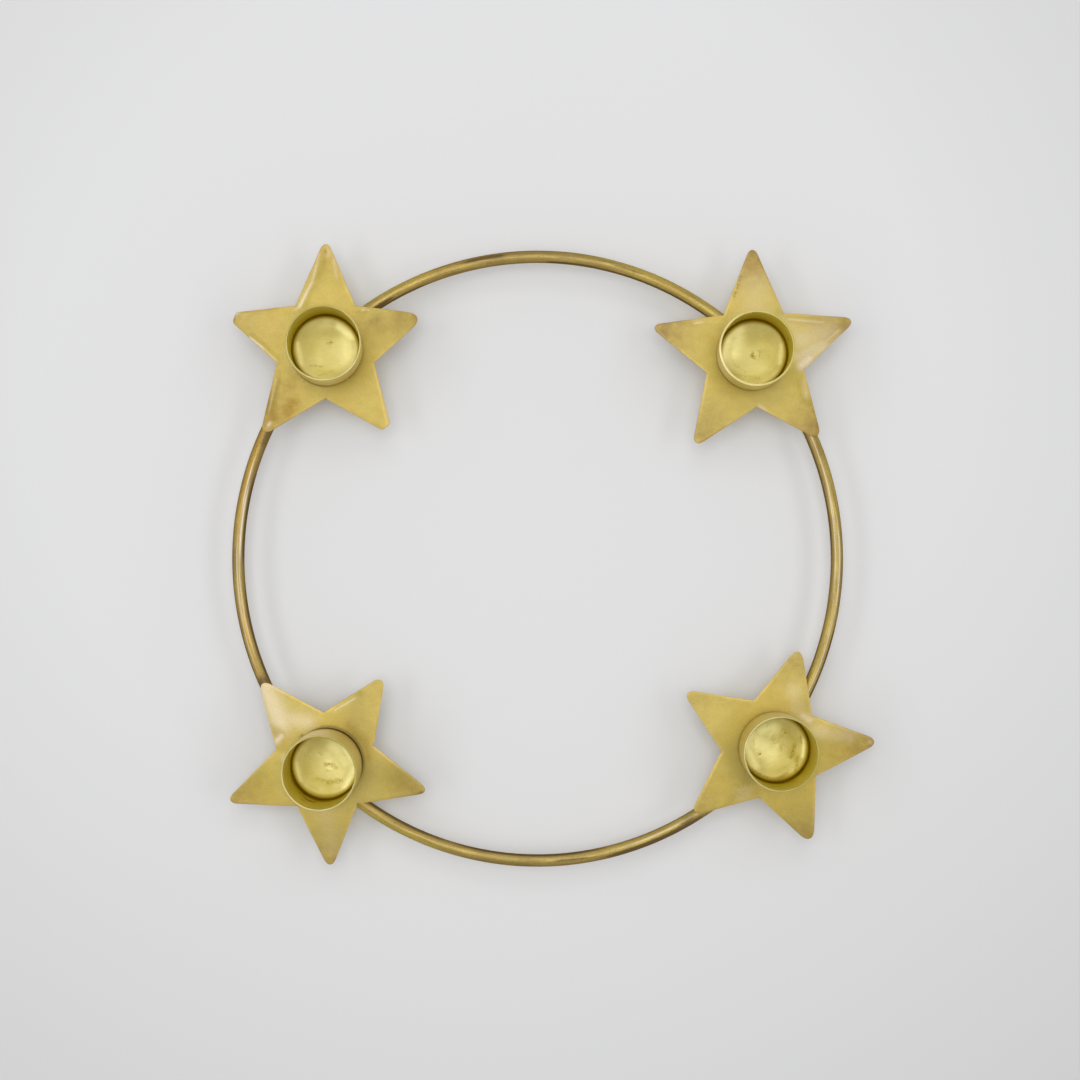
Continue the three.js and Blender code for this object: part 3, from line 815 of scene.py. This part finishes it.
def star_plate(site):
    """The pressed star: outline grown inwards over a rolled edge, bent, and given the sheet's thickness."""
    facts = STARS[site]
    centre = star_centre(site)
    rim = centre - Vector((0, 0, ROLL_DEPTH))
    deselect()
    piece = star_outline(rim, facts)
    share, height = 1.0, 0.0
    for step in range(1, ROLL_STEPS + 1):
        t = step / ROLL_STEPS
        target = 1 - t * ROLL_WIDTH / EDGE_LINE
        lift = ROLL_DEPTH * (1 - (1 - t) ** 2)
        grow(rim, target / share, lift - height)
        share, height = target, lift
    flat = share
    for step in range(1, INNER_ROWS):
        target = flat * (1 - step / INNER_ROWS)
        grow(rim, target / share, 0)
        share = target
    bpy.ops.mesh.edge_face_add()
    face_up(piece)
    for k in range(ARMS):
        tip = centre + turned_by(facts["arm"] + ARM_TURN * k, ARM_PRESS)
        off_rod = abs((tip - RING_CENTRE).to_2d().length - RING_RADIUS)
        if off_rod > CLEAR_OF_ROD:
            press(piece, tip, tip, ARM_DROOP, DROOP_REACH)
    for direction, drop in facts["bends"]:
        tip = centre + turned_by(direction, ARM_PRESS)
        press(piece, tip, tip, drop * MM, DROOP_REACH)
    for start, end, drop, reach in facts["presses"]:
        press(piece, centre + spot(start), centre + spot(end), drop * MM, reach * MM)
    modify(piece, "SOLIDIFY", thickness=STAR_SHEET, offset=-1, use_even_offset=True)
    modify(piece, "BEVEL", width=PLATE_EDGE, segments=2, limit_method="ANGLE", angle_limit=math.radians(50))
    smooth(piece)
    age_plate(piece, site, centre)
    finish_piece(piece, f"plate_{site}", f"star_plate_{site}", plate_brass)


def age_plate(piece, site, centre):
    """Where the plate is worn, browned or stained, and where painted highlights and painted shade go."""
    facts = STARS[site]
    cup_low, cup_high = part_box(f"candle_cup_{site}")
    cup_axis = (cup_low + cup_high) / 2 + spot(facts["lean"])
    first_notch = facts["arm"] + ARM_TURN / 2
    notches = [turned_by(first_notch + ARM_TURN * k, STAR_NOTCH / MM) for k in range(ARMS)]

    def on_arm(point):
        """Which arm a point lies on, how far out along it, and how far beside its middle."""
        off_centre = point - centre
        turn = math.atan2(off_centre.y, off_centre.x) - math.radians(facts["arm"])
        arm = round(turn / ARM_STEP)
        off = turn - arm * ARM_STEP
        length = math.hypot(off_centre.x, off_centre.y)
        return arm % ARMS, length * math.cos(off), abs(length * math.sin(off))

    def edge_gap(point):
        _, out, beside = on_arm(point)
        straight = EDGE_LINE - out * math.sin(TIP_HALF) - beside * math.cos(TIP_HALF)
        return min(straight, ARM_END - out) / MM

    def tip(point):
        arm, out, _ = on_arm(point)
        reach = held((out / MM - TIP_FROM) / TIP_FADE)
        return facts["tips"][arm] * reach ** 1.5

    def strokes(kind):
        return lambda point: cover((point.x - centre.x) / MM, (point.y - centre.y) / MM, facts[kind])

    # Dirt strokes, and a painted shade spot in each notch
    def dirt(point):
        x, y = (point.x - centre.x) / MM, (point.y - centre.y) / MM
        gap = min(math.hypot(x - notch.x, y - notch.y) for notch in notches)
        return max(cover(x, y, facts["dirt"]), NOTCH_SHADE * math.exp(-(gap / NOTCH_REACH) ** 2))

    def contact(point):
        middle, half_width, strength = facts["contact"]
        off = bearing_gap(bearing_of(point - cup_axis), middle)
        return max(CONTACT_LEAST, strength * max(0, 1 - (off / half_width) ** 2))

    paint(piece, edge_gap=edge_gap, tip=tip, rust=strokes("rust"), bloom=strokes("bloom"),
          dull=strokes("dull"), dirt=dirt, contact=contact)
    paint_place(piece, "from_cup", cup_axis)


def candle_cup(site):
    """A drawn cup: its inner skin grown from the rim down and across the bottom, then given its wall."""
    low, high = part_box(f"candle_cup_{site}")
    inside = (high.x - low.x) / 2 - CUP_WALL
    rim = Vector(((low.x + high.x) / 2, (low.y + high.y) / 2, high.z))
    deselect()
    bpy.ops.mesh.primitive_circle_add(vertices=CUP_SIDES, radius=inside, fill_type="NOTHING", location=rim)
    piece = bpy.context.object
    apply_place(piece)
    edit(piece)
    pick(piece, lambda e: True, "EDGE")
    wall = high.z - low.z - CUP_WALL - CUP_CORNER - DISH_RISE
    lean = spot(STARS[site]["lean"])
    for step in range(WALL_STEPS):
        grow(rim, 1, -wall / WALL_STEPS)
        bpy.ops.transform.translate(value=lean / WALL_STEPS)
    foot = rim + lean
    radius, height = inside, 0.0
    for step in range(1, CORNER_STEPS + 1):
        angle = step / CORNER_STEPS * math.pi / 2
        target = inside - CUP_CORNER + CUP_CORNER * math.cos(angle)
        drop = CUP_CORNER * math.sin(angle)
        grow(foot, target / radius, height - drop)
        radius, height = target, drop
    dish, height = radius, DISH_RISE
    for step in range(1, DISH_STEPS + 1):
        t = 1 - step / DISH_STEPS
        target = DISH_FLAT + (dish - DISH_FLAT) * t
        grow(foot, target / radius, DISH_RISE * t * t - height)
        radius, height = target, DISH_RISE * t * t
    height = 0.0
    pip = spot(STARS[site]["pip"]) - lean
    centre = foot.copy()
    start, end = radius, PIP_RINGS[0][0] * MM
    for step in range(1, BOTTOM_STEPS + 1):
        target = start + (end - start) * step / BOTTOM_STEPS
        grow(centre, target / radius, 0)
        bpy.ops.transform.translate(value=pip / BOTTOM_STEPS)
        centre += pip / BOTTOM_STEPS
        radius = target
    for ring_radius, level in PIP_RINGS[1:]:
        grow(centre, ring_radius * MM / radius, (level - height) * MM)
        radius, height = ring_radius * MM, level
    bpy.ops.mesh.edge_face_add()
    face_up(piece)
    floor = rim - Vector((0, 0, wall + CUP_CORNER + DISH_RISE))
    for start, end, drop, reach in CUP_DENTS[site]:
        press(piece, floor + spot(start), floor + spot(end), drop * MM, reach * MM, DENT_LINE)
    modify(piece, "SOLIDIFY", thickness=CUP_WALL, offset=-1, use_even_offset=True)
    modify(piece, "BEVEL", width=CUP_EDGE, segments=3, limit_method="ANGLE", angle_limit=math.radians(60))
    smooth(piece)
    age_cup(piece, site, rim, low.z, lean / wall)
    finish_piece(piece, f"cup_{site}", f"candle_cup_{site}", cup_brass)


def age_cup(piece, site, axis, base, slope):
    """Distance from the cup's axis and height over its foot, in mm, where it is stained, and where painted
    shade and painted highlights go.
    """
    facts = STARS[site]
    full = spot(facts["lean"])

    def radius(point):
        aside = slope * (axis.z - point.z)
        middle = axis + (aside if aside.length < full.length else full)
        return math.hypot(point.x - middle.x, point.y - middle.y) / MM

    def height(point):
        return (point.z - base) / MM

    def bearing(point):
        return bearing_of(point - axis)

    # Where the crease's painted shade is wider
    def widening(point):
        return sum(wider * near_bearing(bearing(point), middle, half_width)
                   for middle, half_width, wider in facts["crease"])

    def crease(point):
        return radius(point) + widening(point)

    def low(point):
        top = CREASE_TOP + CREASE_RISE * max(0, widening(point))
        return held((top - height(point)) / (top - CREASE_FULL))

    def on_bottom(strokes):
        def value(point):
            if height(point) > BOTTOM_TOP:
                return 0
            return cover((point.x - axis.x) / MM, (point.y - axis.y) / MM, strokes)
        return value

    bottom_mark = on_bottom(CUP_MARKS[site])

    def stain(point):
        if height(point) < BOTTOM_TOP:
            return bottom_mark(point)
        most = 0.0
        for stained, middle, level, half_width, half_height, strength in WALL_STAINS:
            if stained == site:
                off = math.radians(bearing_gap(bearing(point), middle)) * radius(point) / half_width
                up = (height(point) - level) / half_height
                most = max(most, strength * math.exp(-off * off - up * up))
        return most

    # Painted shade on the rim, away from its brightest bearing
    def rim_dull(point):
        return RIM_SHADING * (1 - math.cos(math.radians(bearing(point) - facts["rim"])))

    # A painted highlight on one side of the outside
    def pale(point):
        middle, half_width, strength = facts["pale"]
        outside = radius(point) > OUTSIDE_FROM
        return outside * strength * near_bearing(bearing(point), middle, half_width)

    # Painted shade at the foot, on the side given by contact
    def foot(point):
        middle, half_width, strength = facts["contact"]
        share = max(0, 1 - (bearing_gap(bearing(point), middle) / half_width) ** 2)
        outside = radius(point) > OUTSIDE_FROM
        return outside * strength * share * held((FOOT_TOP - height(point)) / FOOT_FADE)

    paint(piece, radius=radius, height=height, crease=crease, low=low, stain=stain,
          shade=on_bottom(CUP_SHADES[site]), light=on_bottom(CUP_LIGHTS[site]),
          foot=foot, rim_dull=rim_dull, pale=pale)


def rod_ring():
    deselect()
    bpy.ops.mesh.primitive_torus_add(location=RING_CENTRE, major_radius=RING_RADIUS, minor_radius=ROD_RADIUS,
                                     major_segments=RING_SEGMENTS, minor_segments=ROD_SIDES)
    piece = bpy.context.object
    apply_place(piece)
    edit(piece)
    pick(piece, lambda v: True)
    bpy.ops.transform.resize(value=RING_OVAL, center_override=RING_CENTRE)
    bpy.ops.transform.translate(value=RING_SHIFT)
    bpy.ops.object.mode_set(mode="OBJECT")
    smooth(piece)
    stars = [star_centre(site) for site in STARS]

    def section(point):
        off_centre = point - RING_CENTRE - RING_SHIFT
        flat = Vector((off_centre.x / RING_OVAL.x, off_centre.y / RING_OVAL.y))
        return flat.length - RING_RADIUS, off_centre.z

    def around(point):
        beside, up = section(point)
        return math.atan2(beside, up) / (2 * math.pi)

    def side(point):
        beside, _ = section(point)
        return abs(beside) / ROD_RADIUS

    def along(marks):
        def value(point):
            beside, _ = section(point)
            bearing = bearing_of(point - RING_CENTRE) % 360
            most = 0.0
            for first, last, across, width, strength in marks:
                middle, core = (first + last) / 2, (last - first) / 2 * MARK_CORE
                over = max(0, bearing_gap(bearing, middle) - core) / core
                off = (beside / ROD_RADIUS - across) / width
                most = max(most, strength * math.exp(-over * over - off * off))
            return most
        return value

    def heat(point):
        gap = min((point - centre).to_2d().length for centre in stars) / MM
        return held((HEAT_REACH - gap) / HEAT_FADE)

    paint(piece, around=around, side=side, heat=heat, mark=along(ROD_MARKS), shade=along(ROD_SHADES),
          gilt=along(ROD_GILT), warm=along(ROD_WARM), shine=along(ROD_SHINE))
    finish_piece(piece, "rod_ring", "ring", rod_brass)


rod_ring()
for site in STARS:
    star_plate(site)
    candle_cup(site)
    for name in (f"foot_{site}", f"braze_outer_{site}", f"braze_inner_{site}"):
        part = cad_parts[name]
        part.data.materials.clear()
        part.data.materials.append(braze_brass if name.startswith("braze") else peg_brass)


# Stage, light and camera

FLOOR_SIDE = 12
# The floor is painted lighter round this spot, fading to its edge colour: a painted pool of light
FLOOR_BRIGHTEST = (-0.02, 0.05, 0)
FLOOR_LIT_MIDDLE = (0.866, 0.868, 0.877)
FLOOR_EDGE = (0.735, 0.735, 0.732)
FLOOR_BAND = (0.15, 0.31)  # where the floor passes from its middle to its edge colour, in m
WALL_BEGINS = (0.31, 1.0)  # where it passes into the white wall
HORIZON = 0.85  # the studio's white walls
ZENITH = 0.36
ZENITH_FROM = 0.7
# Soft lights: bearing and lean in degrees, distance, width and depth in m, share of the floor's light
LIGHTS = {
    "overhead": (115, 7, 1.1, 0.7, 0.7, 0.30),
    "left_strip": (185, 42, 1.6, 1.1, 0.35, 0.075),
    "right_strip": (-5, 42, 1.6, 1.1, 0.35, 0.07),
    "rear_strip": (90, 38, 1.6, 0.9, 0.3, 0.05),
}


def pale_floor():
    """A pale floor, painted lighter round its brightest spot as a painted pool of light, that passes into a
    white wall far from the ring, also where the brass mirrors it.
    """
    deselect()
    bpy.ops.mesh.primitive_plane_add(size=FLOOR_SIDE, location=(0, 0, 0))
    floor = bpy.context.object
    floor.name = "floor"
    g = Graph("pale_floor")
    reach = g.distance(g.place, FLOOR_BRIGHTEST)
    # Painted pool of light on the floor
    colour = g.blend(g.spread(reach, *FLOOR_BAND), FLOOR_LIT_MIDDLE, FLOOR_EDGE)
    g.put(g.shader.inputs["Base Color"], colour)
    g.shader.inputs["Roughness"].default_value = 0.9
    g.shader.inputs["Specular IOR Level"].default_value = 0.0
    path = g.nodes.new("ShaderNodeLightPath")
    seen = g.calc("MAXIMUM", path.outputs["Is Camera Ray"], path.outputs["Is Glossy Ray"])
    seen = g.calc("MAXIMUM", seen, path.outputs["Is Transmission Ray"])
    wall = g.nodes.new("ShaderNodeEmission")
    wall.inputs["Strength"].default_value = HORIZON
    rising = g.nodes.new("ShaderNodeMixShader")
    g.put(rising.inputs[0], g.times(seen, g.spread(reach, *WALL_BEGINS)))
    g.put(rising.inputs[1], g.shader.outputs["BSDF"])
    g.put(rising.inputs[2], wall.outputs["Emission"])
    g.put(g.nodes["Material Output"].inputs["Surface"], rising.outputs["Shader"])
    floor.data.materials.append(g.material)


def studio_world():
    """Even light that is brightest at the horizon."""
    world = bpy.data.worlds.new("studio")
    bpy.context.scene.world = world
    world.use_nodes = True
    tree = world.node_tree
    background = tree.nodes["Background"]
    background.inputs["Color"].default_value = (1, 1, 1, 1)
    look = tree.nodes.new("ShaderNodeTexCoord")
    parts = tree.nodes.new("ShaderNodeSeparateXYZ")
    fade = tree.nodes.new("ShaderNodeMapRange")
    fade.inputs["From Max"].default_value = ZENITH_FROM
    fade.inputs["To Min"].default_value = HORIZON
    fade.inputs["To Max"].default_value = ZENITH
    tree.links.new(look.outputs["Generated"], parts.inputs[0])
    tree.links.new(parts.outputs["Z"], fade.inputs["Value"])
    tree.links.new(fade.outputs["Result"], background.inputs["Strength"])


def softbox(name, bearing, lean, distance, width, depth, share):
    """A flat soft light aimed at the ring's centre; share is the part of the floor's light it gives."""
    turn, lean = math.radians(bearing), math.radians(lean)
    light = bpy.data.lights.new(name, "AREA")
    light.shape = "RECTANGLE"
    light.size = width
    light.size_y = depth
    light.energy = share * (math.pi * distance) ** 2 / math.cos(lean)
    lamp = bpy.data.objects.new(name, light)
    bpy.context.scene.collection.objects.link(lamp)
    away = Vector((math.cos(turn) * math.sin(lean), math.sin(turn) * math.sin(lean), math.cos(lean)))
    lamp.location = RING_CENTRE + away * distance
    lamp.rotation_mode = "QUATERNION"
    lamp.rotation_quaternion = away.to_track_quat("Z", "Y")


def camera():
    data = bpy.data.cameras.new("camera")
    data.lens = CAMERA_LENS
    data.sensor_width = SENSOR
    eye = bpy.data.objects.new("camera", data)
    bpy.context.scene.collection.objects.link(eye)
    under = RING_CENTRE + CAMERA_OFF_CENTRE
    eye.location = (under.x, under.y, CAMERA_HEIGHT)
    bpy.context.scene.camera = eye


pale_floor()
studio_world()
for name, place in LIGHTS.items():
    softbox(name, *place)
camera()
bpy.context.scene.view_settings.view_transform = "Standard"
